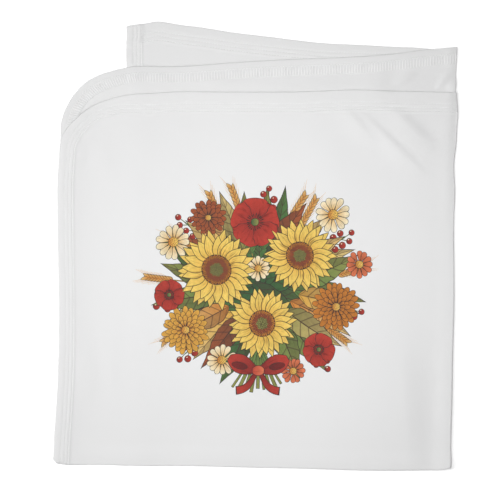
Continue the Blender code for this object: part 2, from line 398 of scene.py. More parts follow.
# The highest value within reach, then a Gaussian blur, each by rows and then by columns.
def softened(field, reach, width):
    reach, width = (np.broadcast_to(size, 2)[::-1] / settle["cell"] for size in (reach, width))
    for axis in (0, 1):
        best = field.copy()
        for shift in range(1, int(round(reach[axis])) + 1):
            for way in (shift, -shift):
                best = np.maximum(best, np.roll(field, way, axis))
        field = best
    for axis in (0, 1):
        count = int(3 * width[axis]) + 1
        kernel = np.exp(-0.5 * (np.arange(-count, count + 1) / width[axis]) ** 2)
        kernel /= kernel.sum()
        field = np.apply_along_axis(np.convolve, axis, field, kernel, "same")
    return field


# Sum of creases: a Gaussian across each line, with one width to the left of its way and another to the
# right, and tapering as the square of a cosine towards both ends.
def creased(xy, creases):
    out = np.zeros(xy.shape[:-1])
    for x0, y0, x1, y1, leftWidth, rightWidth, height in creases:
        start, way = np.array((x0, y0)), np.array((x1 - x0, y1 - y0))
        length = np.hypot(*way)
        way = way / length
        offset = xy - start
        share = (offset @ way) / length
        aside = offset @ np.array((-way[1], way[0]))
        taper = np.cos(math.pi * np.clip(share - 0.5, -0.75, 0.75) / 1.5) ** 2
        out += height * taper * np.exp(-((aside / np.where(aside < 0, rightWidth, leftWidth)) ** 2))
    return out


# Slow waves of a hand-laid cloth: five crossing sines.
def unevenness(xy):
    waves = ((41, 12, 0.3), (-17, 38, 1.9), (63, -29, 4.0), (25, 71, 2.4), (-88, -46, 5.1))
    out = np.zeros(xy.shape[:-1])
    for i, (kx, ky, phase) in enumerate(waves):
        out += np.sin(kx * xy[..., 0] + ky * xy[..., 1] + phase) / (1 + 0.5 * i)
    return settle["waves"] * out


heights = HeightMap()


# Plan places of closely spaced points of one quarter, its corner rounded, and how many turned edges
# lie over each.
def samplesOf(name):
    fromLeft = name in ("front", "under")
    fromTop = name in ("front", "back")
    width = cloth["frontWidth"] if fromLeft else cloth["backWidth"]
    height = cloth["frontHeight"] if fromTop else cloth["underHeight"]
    step = settle["cell"] * 0.5
    s, t = np.meshgrid(np.arange(0, width, step), np.arange(0, height, step))
    u = s if fromLeft else clothWidth - s
    v = t if fromTop else clothHeight - t
    folds = (s < hem["turned"]).astype(int) + (t < hem["turned"])
    if fromLeft:
        a, b = cloth["frontCorner"] if fromTop else cloth["underCorner"]
        x, y = np.clip(1 - s / a, 0, 1), np.clip(1 - t / b, 0, 1)
        kept = np.hypot(x, y) <= 1
        depth = np.where((s < a) & (t < b), (1 - np.hypot(x, y)) * min(a, b), np.minimum(s, t))
        u, v, folds = u[kept], v[kept], (depth[kept] < hem["turned"]).astype(int)
    return seenFromAbove(quarterAndTurn(u, uMarks)[0], quarterAndTurn(v, vMarks)[0]), folds


# Above 0 with no corner: half the sum of a height and its root with a small square added.
def smoothlyAbove(height, softness=0.0002):
    return (height + np.sqrt(height**2 + softness**2)) / 2


# One coordinate of the straight line between two places of the plan, read at the other one.
def planLine(start, end, at, axis):
    a, b = plan[start], plan[end]
    return np.interp(at, (a[axis], b[axis]), (a[1 - axis], b[1 - axis]))


# Heights of the middle of each layer: each lies on the smoothed top of what is under it, never lower.
def settledLayers():
    half, air = cloth["fabric"] / 2, cloth["air"]
    grid = heights.grid()
    x, y = grid[..., 0], grid[..., 1]
    there, hemOver = {}, {}
    for name in quarters:
        xy, folds = samplesOf(name)
        there[name] = heights.marked(xy)
        hemOver[name] = (heights.marked(xy[folds > 0]) + 2 * heights.marked(xy[folds > 1])) * hem["gap"]
    foldX, footY = planLine("footFold", "frontFold", y, 1), planLine("footLeft", "footFold", x, 0)
    inside = np.stack((np.minimum(x, foldX - settle["inside"]), np.maximum(y, footY + settle["inside"])), -1)
    fromFold = foldX - x
    fromTop, fromFoot = ((y - settle[key][0]) / settle[key][1] for key in ("topRange", "footRange"))
    opening = settle["topShare"] + (1 - settle["topShare"]) * (1 - eased(fromFoot))
    opening *= settle["foldOpening"] * (1 - eased((fromFold - settle["inside"]) / settle["foldReach"]))
    droop = settle["foldDroop"] * eased(fromTop) * np.clip(1 - fromFold / settle["droopReach"], 0, 1) ** 2
    footOpening = settle["footOpening"] * (1 - eased((y - footY) / settle["footReach"]))
    frontEdge = np.interp(x, *curves["frontEdge"](np.linspace(0, 1, 60)).T)
    freeOfHem = eased((frontEdge - settle["creaseRange"][0] - y) / settle["creaseRange"][1])
    relief = creased(grid, softRidges) + unevenness(grid)

    layers = {"back": np.full(heights.shape, half)}
    backTop = there["back"] * (2 * half + air)
    surface = backTop + hemOver["back"]
    layers["inner"] = softened(surface, *settle["inner"]) + half + footOpening * 0.5
    face = layers["inner"] + half + air
    surface = np.where(there["inner"] > 0, face + hemOver["inner"], surface)
    near = softened(heights.read(surface, inside), *settle["under"])
    sagging = softened(heights.read(np.where(there["inner"] > 0, face, backTop), inside), *settle["sag"])
    support = near + smoothlyAbove(sagging - near)
    lifted = smoothlyAbove(opening + footOpening * 0.5 + relief + creased(grid, underCreases))
    layers["under"] = support + half + lifted - settle["underDroop"] * droop
    face = layers["under"] + half + air + hemOver["under"]
    surface = heights.read(np.where(there["under"] > 0, face, support), inside)
    creases = creased(grid, frontCreases) * freeOfHem
    lifted = smoothlyAbove(footOpening + relief * 0.5 + creases + settle["rest"])
    layers["front"] = softened(surface, *settle["front"]) + half + lifted - droop
    return layers


layerHeights = settledLayers()
print("layers settled, front layer", round(float(layerHeights["front"].max()) * 1000, 2), "mm at most")


# Where flat points lie once folded. Each point's plan place comes from its quarter, its height
# from its layer, with the half turns of the two folds blended in by cosines, and the turned cloth
# of a fold standing out by sines of the turn times half the distance between its layers.
def foldedPlace(u, v, inward, raised):
    across, sideTurn = quarterAndTurn(u, uMarks)
    down, footTurn = quarterAndTurn(v, vMarks)
    xy = seenFromAbove(across, down)
    front, inner = (heights.read(layerHeights[name], xy) - inward + raised for name in ("front", "inner"))
    under, back = (heights.read(layerHeights[name], xy) + inward for name in ("under", "back"))
    upper, outer = (1 + np.cos(sideTurn)) / 2, (1 + np.cos(footTurn)) / 2
    z = upper * (outer * front + (1 - outer) * under) + (1 - upper) * (outer * back + (1 - outer) * inner)
    sideRadius = (outer * (front - back) + (1 - outer) * (under - inner)) / 2
    footRadius = (upper * (front - under) + (1 - upper) * (inner - back)) / 2
    x = xy[..., 0] + cloth["pinch"] * sideRadius * np.sin(sideTurn)
    y = xy[..., 1] - footRadius * np.sin(footTurn)
    return np.stack((x, y, z), -1)


# Makes an object from points, faces of four corners, and the flat cloth's place as its UV.
def meshFromFaces(name, points, faces, flat):
    mesh = bpy.data.meshes.new(name)
    mesh.vertices.add(len(points))
    mesh.vertices.foreach_set("co", np.ascontiguousarray(points, np.float32).ravel())
    mesh.loops.add(faces.size)
    mesh.loops.foreach_set("vertex_index", faces.astype(np.int32).ravel())
    mesh.polygons.add(len(faces))
    mesh.polygons.foreach_set("loop_start", np.arange(0, faces.size, 4, dtype=np.int32))
    mesh.polygons.foreach_set("use_smooth", np.ones(len(faces), bool))
    layer = mesh.uv_layers.new(name="flatCloth")
    layer.uv.foreach_set("vector", np.ascontiguousarray(flat[faces.ravel()], np.float32).ravel())
    mesh.update()
    mesh.validate()
    piece = bpy.data.objects.new(name, mesh)
    bpy.context.scene.collection.objects.link(piece)
    return piece


# The same from a grid of points, rows by columns.
def meshFromGrid(name, points, flat):
    rows, columns = points.shape[:2]
    index = np.arange(rows * columns).reshape(rows, columns)
    faces = np.stack((index[:-1, :-1], index[:-1, 1:], index[1:, 1:], index[1:, :-1]), -1)
    return meshFromFaces(name, points.reshape(-1, 3), faces.reshape(-1, 4), flat.reshape(-1, 2))


# A wall of even thickness about the mesh; the open edges are marked sharp, so that the rims shade flat.
def thickened(piece, thickness, offset=0.0):
    mesh = piece.data
    faceEdges = np.empty(len(mesh.loops), np.int32)
    mesh.loops.foreach_get("edge_index", faceEdges)
    sharp = mesh.attributes.new("sharp_edge", "BOOLEAN", "EDGE")
    sharp.data.foreach_set("value", np.bincount(faceEdges, minlength=len(mesh.edges)) == 1)
    wall = piece.modifiers.new("cloth thickness", "SOLIDIFY")
    wall.thickness = thickness
    wall.offset = offset
    wall.use_even_offset = False
    return piece


# Even steps from start to end, no wider than widest, without the first.
def steps(start, end, widest):
    count = max(1, math.ceil((end - start) / widest - 1e-6))
    return start + (end - start) * np.arange(1, count + 1) / count


# How much deeper a side's hem is at u: the front side's widens from within the rounded corner, the
# under side's past the fold.
def widenAt(u, isUnder):
    sides = (hem["frontWiden"], hem["underWiden"])
    front, under = (wide * eased((u - start) / way) for wide, start, way in sides)
    return np.where(isUnder, under, front)


# Stations along u or v: close by the hem at either end, and in even runs between.
def panelStations(whole, runs, farCorner):
    near = np.array(cloth["near"]) + panelEdge
    stations = [near]
    ends = ((whole - farCorner, cloth["lastStep"]), (whole - near[-1], cloth["lastStep"]))
    for end, step in runs + ends:
        stations.append(steps(stations[-1][-1], end, step))
    return np.concatenate((*stations, whole - near[-2::-1]))


# Carries the corner square to a quarter ellipse, ring by ring, from the hem's inner row inwards.
# The ring is the larger of the two shares from the middle, and the smaller one gives the angle.
def roundedCorner(u, v, corner, isUnder):
    a, b = corner
    fromSide = clothHeight - v if isUnder else v
    shareU = np.clip(1 - (u - panelEdge) / (a - panelEdge), 0, 1)
    shareV = np.clip(1 - (fromSide - panelEdge) / (b - panelEdge), 0, 1)
    ring = np.maximum(shareU, shareV)
    small = np.minimum(shareU, shareV) / np.maximum(ring, 1e-9) * math.pi / 4
    angle = np.where(shareU >= shareV, small, math.pi / 2 - small)
    widen = widenAt(a - a * np.cos(angle), isUnder)
    longU, longV = a - panelEdge - widen, b - panelEdge - widen
    newU = a - longU * ring * np.cos(angle)
    newSide = b - longV * ring * np.sin(angle)
    stretch = longU * longV / np.hypot(longV * np.cos(angle), longU * np.sin(angle))
    depth = panelEdge + (1 - ring) * stretch
    inside = (u < a) & (fromSide < b)
    return newU, clothHeight - newSide if isUnder else newSide, depth, inside


# The single cloth inside the hems, over all four layers and both folds. Its first two stations are a
# flange that runs on under the hem's inner row.
def knitPanel():
    us = panelStations(clothWidth, cloth["runsU"], cloth["farCorner"])
    vs = panelStations(clothHeight, cloth["runsV"], cloth["underCorner"][1])
    u, v = np.meshgrid(us, vs)
    isUnder = v > clothHeight / 2
    fromSide = np.where(isUnder, clothHeight - v, v)
    widen = widenAt(u, isUnder)
    past = np.clip((fromSide - panelEdge) / hem["easeIn"], 0, 1)
    shift = widen * (1 - past)
    flatU, flatV = u, np.where(isUnder, v - shift, v + shift)
    depth = np.minimum(u, fromSide - widen * past)
    for corner, isLower in ((cloth["underCorner"], True), (cloth["frontCorner"], False)):
        cornerU, cornerV, cornerDepth, inside = roundedCorner(u, v, corner, isLower)
        flatU, flatV = np.where(inside, cornerU, flatU), np.where(inside, cornerV, flatV)
        depth = np.where(inside, cornerDepth, depth)
    endDepth = clothWidth - flatU
    overHem = np.clip(raisedBy(depth) / hem["gap"], 0, 1)
    raised = raisedBy(depth) + (1 - overHem) * raisedBy(endDepth) + overHem * raisedByCrossing(endDepth)
    underHem = np.minimum(depth, endDepth) < panelEdge + hem["flange"]
    points = foldedPlace(flatU, flatV, np.where(underHem, hem["sunk"], 0.0), raised)
    piece = meshFromGrid("knitPanel", points[::-1], np.stack((flatU, flatV), -1)[::-1])
    return thickened(piece, cloth["fabric"])


# A straight run of an edge path: count points, and the inward way at each.
def straightRun(start, end, way, count):
    share = np.linspace(0, 1, count)[:, None]
    base = np.array(start) * (1 - share) + np.array(end) * share
    return base, np.broadcast_to(np.array(way, float), base.shape)


# A rounded corner's run, a quarter ellipse: base = corner - corner * (cos, sin), way = (cos, sin).
def cornerRun(corner, angle, isUnder):
    base = np.stack((corner[0] - corner[0] * np.cos(angle), corner[1] - corner[1] * np.sin(angle)), -1)
    way = np.stack((np.cos(angle), np.sin(angle)), -1)
    if isUnder:
        base[:, 1], way[:, 1] = clothHeight - base[:, 1], -way[:, 1]
    return base, way


# An edge path: closely spaced points of the cloth's edge, the inward way at each, and how much wider
# the hem is there.
def edgePath(name):
    frontCorner, underCorner = cloth["frontCorner"], cloth["underCorner"]
    angle = np.linspace(0, math.pi / 2, 400)
    last = clothWidth - panelEdge
    if name == "roundedEnd":
        ends = (0, frontCorner[1]), (0, clothHeight - underCorner[1])
        straight = [part[1:-1] for part in straightRun(*ends, (1, 0), 1400)]
        runs = (cornerRun(frontCorner, angle[::-1], False), straight, cornerRun(underCorner, angle, True))
        base, way = (np.concatenate(parts) for parts in zip(*runs))
    elif name == "squareEnd":
        base, way = straightRun((clothWidth, 0), (clothWidth, clothHeight), (-1, 0), 1600)
    elif name == "underSide":
        base, way = straightRun((underCorner[0], clothHeight), (last, clothHeight), (0, -1), 1600)
    else:
        base, way = straightRun((frontCorner[0], 0), (last, 0), (0, 1), 1600)
    widen = widenAt(base[:, 0], base[:, 1] > clothHeight / 2) * (name != "squareEnd")
    length = np.concatenate(((0,), np.cumsum(np.hypot(*np.diff(base, axis=0).T))))
    return {"name": name, "base": base, "way": way, "widen": widen, "length": length}


# Reads an edge path at lengths along it: its columns in straight lines between points.
def alongPath(path, at):
    columns = [np.interp(at, path["length"], path[key][:, i]) for key in ("base", "way") for i in (0, 1)]
    return *columns, np.interp(at, path["length"], path["widen"])


# How much higher a hem lies where it crosses another: the side hems over the turned square end that
# runs under them, and the square end over the side hems that it folds over.
def crossingLift(path, u, v):
    if path["name"] == "squareEnd":
        fromSide = np.minimum(v, clothHeight - v)
        return raisedByCrossing(fromSide, widenAt(u, v > clothHeight / 2))
    return raisedByCrossing(clothWidth - u)


# The hem's band: across it the face runs out to the edge, turns in half a circle and runs back
# beneath; "turned" is the share of the way from the face, 0, to the turned cloth, 1.
def hemBand(path):
    face, beneath = np.array(hem["face"]) / 1000, np.array(hem["beneath"]) / 1000
    radius = hem["gap"] / 2
    turn = math.pi * np.linspace(0, 1, 7)
    depth = np.concatenate((face, radius - radius * np.sin(turn), beneath))
    turned = np.concatenate((np.zeros_like(face), (1 - np.cos(turn)) / 2, np.ones_like(beneath)))
    stitches = round(path["length"][-1] / hem["stitch"])
    at = np.linspace(0, path["length"][-1], 2 * stitches + 1)
    baseU, baseV, wayU, wayV, widen = (column[:, None] for column in alongPath(path, at))
    deep = depth + widen * np.clip(depth / hem["rows"][0], 0, 1)
    u, v = baseU + wayU * deep, baseV + wayV * deep
    along = (np.arange(len(at)) * hem["stitch"] / 2)[:, None]
    upper, behind = hemGap(deep, widen, along), turnedGap(deep)
    raised = upper + turned * (behind - upper) + crossingLift(path, u, v)
    inward = turned * behind
    sign = np.where(turned > 0.5, -2 * depth, 0.0)
    flat = np.stack((u + wayU * sign, v + wayV * sign), -1)
    if path["name"] == "squareEnd":
        return wrappedEnds(u, v, inward, raised, turned, flat)
    inward = inward + hem["sunk"] * ((clothWidth - u) < hem["rows"][-1])
    return foldedPlace(u, v, inward, raised), flat


# The square end's band folds over the side hems at both corners: rows past the edge turn in half a
# circle about the middle of the four layers and run back beneath.
def wrappedEnds(u, v, inward, raised, turned, flat):
    pitch = hem["gap"]
    reach = (np.array(hem["beneath"])[::-1] / 1000)[:, None]
    turn = math.pi * np.linspace(1, 0, 7)[:-1, None]
    radius = (1.5 - turned)[None, :] * pitch
    endV = np.concatenate((reach + 0 * radius, 1.5 * pitch - radius * np.sin(turn)))
    endInward = np.concatenate((1.5 * pitch + radius + 0 * reach, 1.5 * pitch - radius * np.cos(turn)))
    keep = (v[:, 0] > 1.6 * pitch) & (v[:, 0] < clothHeight - 1.6 * pitch)
    middle = [values[keep] for values in (u, v, inward, raised, flat)]
    ends = []
    for row, edgeV in ((0, endV), (-1, clothHeight - endV)):
        edgeU, edgeRaised = (np.broadcast_to(middle[i][row], endV.shape) for i in (0, 3))
        block = (edgeU, edgeV, endInward, edgeRaised, np.stack((edgeU, edgeV), -1))
        ends.append([values[:: 1 if row == 0 else -1] for values in block])
    joined = [np.concatenate(parts) for parts in zip(ends[0], middle, ends[1])]
    return foldedPlace(*joined[:4]), joined[4]


def hemPiece(path, name):
    points, flat = hemBand(path)
    return thickened(meshFromGrid(name, points[::-1], flat[::-1]), hem["fabric"])


thread = {
    "colour": (0.93, 0.93, 0.93),
    "shade": (0.90, 0.90, 0.90),  # painted shade, between the plies
    "ply": 0.0007,
    "sides": 6,  # of each tube
    "radius": 0.00020,
    "laid": 0.0024,  # length of thread showing in each stitch
    "lift": 0.00012,
    "dip": 0.00035,  # how deep its ends go into the cloth
    "looperWidth": 0.00036,  # half the looper thread's width, and half its height: it lies flat and fluffy
    "looperHeight": 0.00008,
    "looperLift": 0.00006,
    "looperPast": (0.0008, 0.0006),  # how far its loops reach past the outer and the inner row
}


# Tubes carried along paths on the cloth: for each point of each path, a ring of sides whose offsets are
# cosines across the path's own way on the cloth and sines outwards from the cloth. Both ends are closed.
def tubesOnHem(name, path, at, depth, outward, radius, flatness, isFace):
    sides = thread["sides"]
    turn = 2 * math.pi * np.arange(sides) / sides
    alongStep, depthStep = np.gradient(at, axis=1), np.gradient(depth, axis=1)
    size = np.hypot(alongStep, depthStep)
    aside = radius[..., None] * np.cos(turn)
    placed = at[..., None] - aside * (depthStep / size)[..., None]
    deep = depth[..., None] + aside * (alongStep / size)[..., None]
    baseU, baseV, wayU, wayV, widen = alongPath(path, placed)
    deep = deep + widen * np.clip(depth / hem["rows"][0], 0, 1)[..., None]
    u, v = baseU + wayU * deep, baseV + wayV * deep
    along = placed * round(path["length"][-1] / hem["stitch"]) / path["length"][-1] * hem["stitch"]
    behind = turnedGap(deep)
    raised = (hemGap(deep, widen, along) if isFace else behind) + crossingLift(path, u, v)
    lift = outward[..., None] + hem["fabric"] / 2 + flatness * radius[..., None] * np.sin(turn)
    points = foldedPlace(u, v, -lift if isFace else behind + lift, raised)
    index = np.arange(placed.size).reshape(placed.shape)
    a, b = index[:, :-1], index[:, 1:]
    walls = np.stack((a, np.roll(a, -1, 2), np.roll(b, -1, 2), b), -1)
    cap = np.array([(0, i, i + 1, i + 2) for i in range(1, sides - 1, 2)])
    ends = (index[:, 0][:, cap[:, ::-1]], index[:, -1][:, cap])
    faces = np.concatenate([part.reshape(-1, 4) for part in (walls, *ends)])
    flat = np.stack((at[..., None] + 0 * turn, np.broadcast_to(turn / (2 * math.pi), placed.shape)), -1)
    faces = faces if isFace else faces[:, ::-1]
    return meshFromFaces(name, points.reshape(-1, 3), faces, flat.reshape(-1, 2))


# The needle rows: short arched lengths of thread, both ends dipping into the cloth.
def needleRows(path, name):
    stitches = round(path["length"][-1] / hem["stitch"])
    pitch = path["length"][-1] / stitches
    share = np.array((0.0, 0.14, 0.38, 0.62, 0.86, 1.0))
    start = (np.arange(stitches) + 0.5) * pitch - thread["laid"] / 2
    at = np.tile(start[:, None] + share * thread["laid"], (3, 1))
    depth = np.repeat(np.array(hem["rows"]), stitches)[:, None] + 0 * at
    arch = np.sqrt(np.sin(math.pi * share))
    outward = thread["lift"] * arch - thread["dip"] * (1 - arch) + 0 * at
    radius = thread["radius"] * np.array((0.45, 0.85, 1.0, 1.0, 0.85, 0.45)) + 0 * at
    return tubesOnHem(name, path, at, depth, outward, radius, 1.0, True)


# The looper thread on the wrong side: in each stitch the strand crosses the hem, loops round the
# inner row, crosses back and runs on along the outer row. Corners are rounded by easing each crossing.
def looperLadder(path, name):
    stitches = round(path["length"][-1] / hem["stitch"])
    inStitch = np.array((0.0, 0.035, 0.07, 0.10, 0.14, 0.18, 0.22, 0.255, 0.29, 0.325, 0.36, 0.57, 0.78))
    at = (np.arange(stitches)[:, None] + inStitch).ravel()[None, :] * (path["length"][-1] / stitches)
    share = np.tile(inStitch, stitches)[None, :]
    across = eased(share / 0.13) - eased((share - 0.22) / 0.13)
    first = hem["rows"][0] - thread["looperPast"][0]
    last = hem["rows"][2] + thread["looperPast"][1]
    lift = thread["looperLift"] * (1 - 0.4 * np.cos(4 * math.pi * across))
    width = np.full_like(at, thread["looperWidth"])
    flatness = thread["looperHeight"] / thread["looperWidth"]
    return tubesOnHem(name, path, at, first + (last - first) * across, lift, width, flatness, False)


# A material's nodes, laid out by a few helpers.
class Nodes:

    def __init__(self, name):
        self.material = bpy.data.materials.new(name)
        self.material.use_nodes = True
        self.tree = self.material.node_tree
        self.shader = self.tree.nodes["Principled BSDF"]

    def add(self, kind, **values):
        node = self.tree.nodes.new("ShaderNode" + kind)
        for key, value in values.items():
            setattr(node, key, value)
        return node

    # Links an output to each input, or sets the input where it is given a number or a colour.
    def feed(self, sockets, values):
        for socket, value in zip(sockets, values):
            if isinstance(value, (int, float, tuple)):
                socket.default_value = value
            else:
                self.tree.links.new(value, socket)

    def maths(self, operation, first, second=0.0, third=0.0, clamp=False):
        node = self.add("Math", operation=operation, use_clamp=clamp)
        self.feed(node.inputs, (first, second, third))
        return node.outputs[0]

    def clamped(self, *values):
        return self.maths(*values, clamp=True)

    def times(self, first, second):
        return self.maths("MULTIPLY", first, second)

    def parts(self, vector):
        node = self.add("SeparateXYZ")
        self.feed(node.inputs, (vector,))
        return node.outputs

    def noise(self, vector, scale, detail=2.0, roughness=0.5):
        node = self.add("TexNoise")
        names = ("Vector", "Scale", "Detail", "Roughness")
        self.feed([node.inputs[name] for name in names], (vector, scale, detail, roughness))
        return node.outputs["Fac"]

    def mixed(self, share, first, second, blend="MIX"):
        node = self.add("Mix", data_type="RGBA", blend_type=blend)
        self.feed([node.inputs[i] for i in (0, 6, 7)], (share, first, second))
        return node.outputs[2]

    # Sets the shader's inputs, their names given with _ for spaces, and hands over the material.
    def finish(self, **values):
        names = [name.replace("_", " ") for name in values]
        self.feed([self.shader.inputs[name] for name in names], values.values())
        return self.material


knit = {
    "colour": (0.858, 0.858, 0.858, 1),
    "shade": (0.70, 0.70, 0.705, 1),  # painted shade, in the valleys between wales
    "dull": 0.985,  # of the colour, in slow patches
    "wale": 0.00095,  # width of one column of loops
    "course": 0.00085,  # height of one row
    "slant": 1.1,  # rows that a loop climbs to its column's middle
    "loops": 0.28,  # height of the loops, and of loose fibres, against the columns'
    "fibres": 0.6,
    "bump": 0.48,
    "roughness": 0.93,
    "sheen": 0.12,
}


# Height of the knit from the flat cloth's place: rounded columns, each with slanting loops that meet
# in a V, sine of the row plus the distance from the column's middle; plus loose fibres as noise.
def knitHeight(nodes):
    place = nodes.add("UVMap", uv_map="flatCloth").outputs[0]
    u, v, _ = nodes.parts(place)
    column, row = nodes.maths("DIVIDE", u, knit["wale"]), nodes.maths("DIVIDE", v, knit["course"])
    fromMiddle = nodes.maths("PINGPONG", column, 0.5)
    rounding = nodes.maths("SINE", nodes.times(fromMiddle, 2 * math.pi))
    slant = nodes.maths("ADD", row, nodes.times(fromMiddle, knit["slant"]))
    loops = nodes.maths("SINE", nodes.times(slant, 2 * math.pi))
    height = nodes.maths("MULTIPLY_ADD", loops, knit["loops"], rounding)
    return nodes.maths("MULTIPLY_ADD", nodes.noise(place, 900, 3.0, 0.6), knit["fibres"], height), place


# The shader's own values, with a bump from a height.
def fabricMaterial(nodes, colour, height, bump, roughness, sheen):
    node = nodes.add("Bump")
    names = ("Strength", "Distance", "Height")
    nodes.feed([node.inputs[name] for name in names], (bump, 0.0001, height))
    return nodes.finish(
        Base_Color=colour, Normal=node.outputs[0], Roughness=roughness, Sheen_Weight=sheen,
        Sheen_Roughness=0.5, Specular_IOR_Level=0.25,
    )


# White knit, with painted shade that greys it in the valleys between wales, and a little duller in slow
# patches.
def cottonMaterial():
    nodes = Nodes("whiteCottonKnit")
    height, place = knitHeight(nodes)
    # painted shade: the lower the knit's height, the more of the shade colour
    cavity = nodes.maths("MULTIPLY_ADD", height, 0.20, 0.72)
    tone = nodes.mixed(nodes.maths("MINIMUM", cavity, 1.0), knit["shade"], knit["colour"])
    dull = (*(knit["dull"] * c for c in knit["colour"][:3]), 1)
    tone = nodes.mixed(nodes.times(nodes.noise(place, 22, 4.0, 0.6), 0.5), tone, dull)
    return fabricMaterial(nodes, tone, height, knit["bump"], knit["roughness"], knit["sheen"])


# Twisted thread: a sine along it and round it, with painted shade between the plies.
def threadMaterial():
    nodes = Nodes("whiteSewingThread")
    along, turn, _ = nodes.parts(nodes.add("UVMap", uv_map="flatCloth").outputs[0])
    twist = nodes.maths("ADD", nodes.maths("DIVIDE", along, thread["ply"]), turn)
    ply = nodes.maths("SINE", nodes.times(twist, 2 * math.pi))
    share = nodes.maths("MULTIPLY_ADD", ply, 0.25, 0.75)
    tone = nodes.mixed(share, (*thread["shade"], 1), (*thread["colour"], 1))
    return fabricMaterial(nodes, tone, ply, 0.3, 0.7, 0.05)


inks = {
    "outline": (46, 36, 33),
    "yellow": (246, 214, 108),
    "gold": (226, 172, 70),
    "amber": (206, 128, 44),
    "rust": (168, 84, 44),
    "brown": (112, 70, 46),
    "dark": (66, 46, 38),
    "red": (188, 58, 44),
    "crimson": (122, 30, 28),
    "coral": (226, 122, 82),
    "leaf": (86, 126, 62),
    "deepLeaf": (44, 82, 50),
    "olive": (146, 146, 76),
    "straw": (226, 196, 128),
    "cream": (250, 238, 204),
}

# The bouquet's flowers are placed in millimetres from its middle, and its ears and sprays in degrees.
bouquet = {
    "middle": (0.2066, 0.1990),  # where its middle lies on the flat cloth, u and v
    "lift": 0.00003,  # the lowest ink over the cloth's face, and one step up for what lies on it
    "step": 0.000008,
    "wall": 0.00004,  # thickness of the ink
    "line": 0.75,  # width of the dark line round each shape, in millimetres
    "oval": (116, 109),  # its half width and half height
    "seed": 11,
    # x, y, radius, petals, height
    "sunflowers": ((-44, 18, 42, 22, 0), (42, 33, 39, 21, 0), (3, -36, 37, 20, 1)),
    # x, y, radius, turn
    "poppies": ((-4, 67, 25, 20), (-93, -8, 15, 60), (62, -62, 16, 130)),
    # x, y, radius, petals, rings, ink at the root, ink at the tip
    "asters": (
        (79, -19, 25, 19, 4, "brown", "amber"), (-76, -44, 25, 19, 4, "rust", "gold"),
        (-52, 71, 19, 16, 3, "brown", "rust"), (-88, 46, 18, 13, 1, "gold", "cream"),
        (76, 74, 18, 13, 1, "gold", "cream"), (103, 24, 14, 12, 1, "rust", "coral"),
        (-38, -74, 16, 13, 1, "gold", "cream"), (36, -84, 13, 12, 1, "rust", "coral"),
        (-1, 20, 13, 12, 1, "gold", "cream"),
    ),
    # way in degrees, start, end, bend
    "wheatEars": (
        (101, 18, 106, 0.10), (121, 20, 108, -0.06), (68, 22, 104, -0.10), (54, 30, 106, 0.08),
        (152, 34, 104, -0.10), (8, 50, 112, 0.10), (331, 50, 104, -0.06), (207, 50, 112, 0.08),
        (176, 60, 116, -0.05),
    ),
    # way in degrees, start, length, berries
    "sprays": (
        (84, 50, 60, 7), (139, 56, 62, 7), (190, 62, 52, 6), (347, 62, 52, 6), (30, 66, 50, 6),
        (222, 70, 44, 5), (311, 70, 42, 5),
    ),
    # leaves, start, reach, width, inks at the root, inks at the tip, height
    "leafRings": (
        (29, 34, 1.0, 12.5, ("leaf", "amber", "deepLeaf", "olive", "brown", "leaf", "gold"),
         ("olive", "straw", "leaf", "straw", "rust", "olive", "straw"), 3.5),
        (17, -9, 0.66, 13.0, ("deepLeaf", "leaf", "rust", "deepLeaf", "leaf"),
         ("leaf", "olive", "amber", "olive", "leaf"), 0.0),
    ),
    "seedTurn": 137.508,  # the golden angle, in degrees
}
chance = np.random.default_rng(bouquet["seed"])


# Screen values 0 to 255 to the linear values a shader takes: ((c + 0.055) / 1.055) ** 2.4.
def linearInk(name):
    screen = np.array(inks[name]) / 255
    return np.where(screen > 0.04045, ((screen + 0.055) / 1.055) ** 2.4, screen / 12.92)


# The root of 1 - s * s, for a round end.
def roundedEnd(share, power=2):
    return np.sqrt(np.clip(1 - np.clip(share, 0, 1) ** power, 0, 1))


# Half-widths against the share t of the way from root to tip, 1 where widest.
shapes = {
    "pointed": lambda t: np.sin(math.pi * t**0.72) ** 0.85,
    "leaf": lambda t: np.sin(math.pi * t**0.62) ** 1.15 * (1 + 0.05 * np.cos(34 * t)),
    "round": lambda t: roundedEnd(np.abs(2 * t - 1)),
    "spoon": lambda t: (0.30 + 0.70 * eased(t / 0.7)) * roundedEnd((t - 0.72) / 0.28),
    "fan": lambda t: (
        np.sin(math.pi / 2 * np.clip(t / 0.68, 0, 1)) ** 0.9
        * roundedEnd((t - 0.66) / 0.34, 2.4) * (1 + 0.05 * np.sin(21 * t))
    ),
    "stem": lambda t: np.ones_like(t),
    "awn": lambda t: 1 - 0.85 * t,
    "loop": lambda t: 0.28 + 0.72 * np.sin(math.pi * np.clip(t, 0, 1) ** 1.3) ** 0.8,
    "tail": lambda t: 0.55 + 0.45 * t,
}


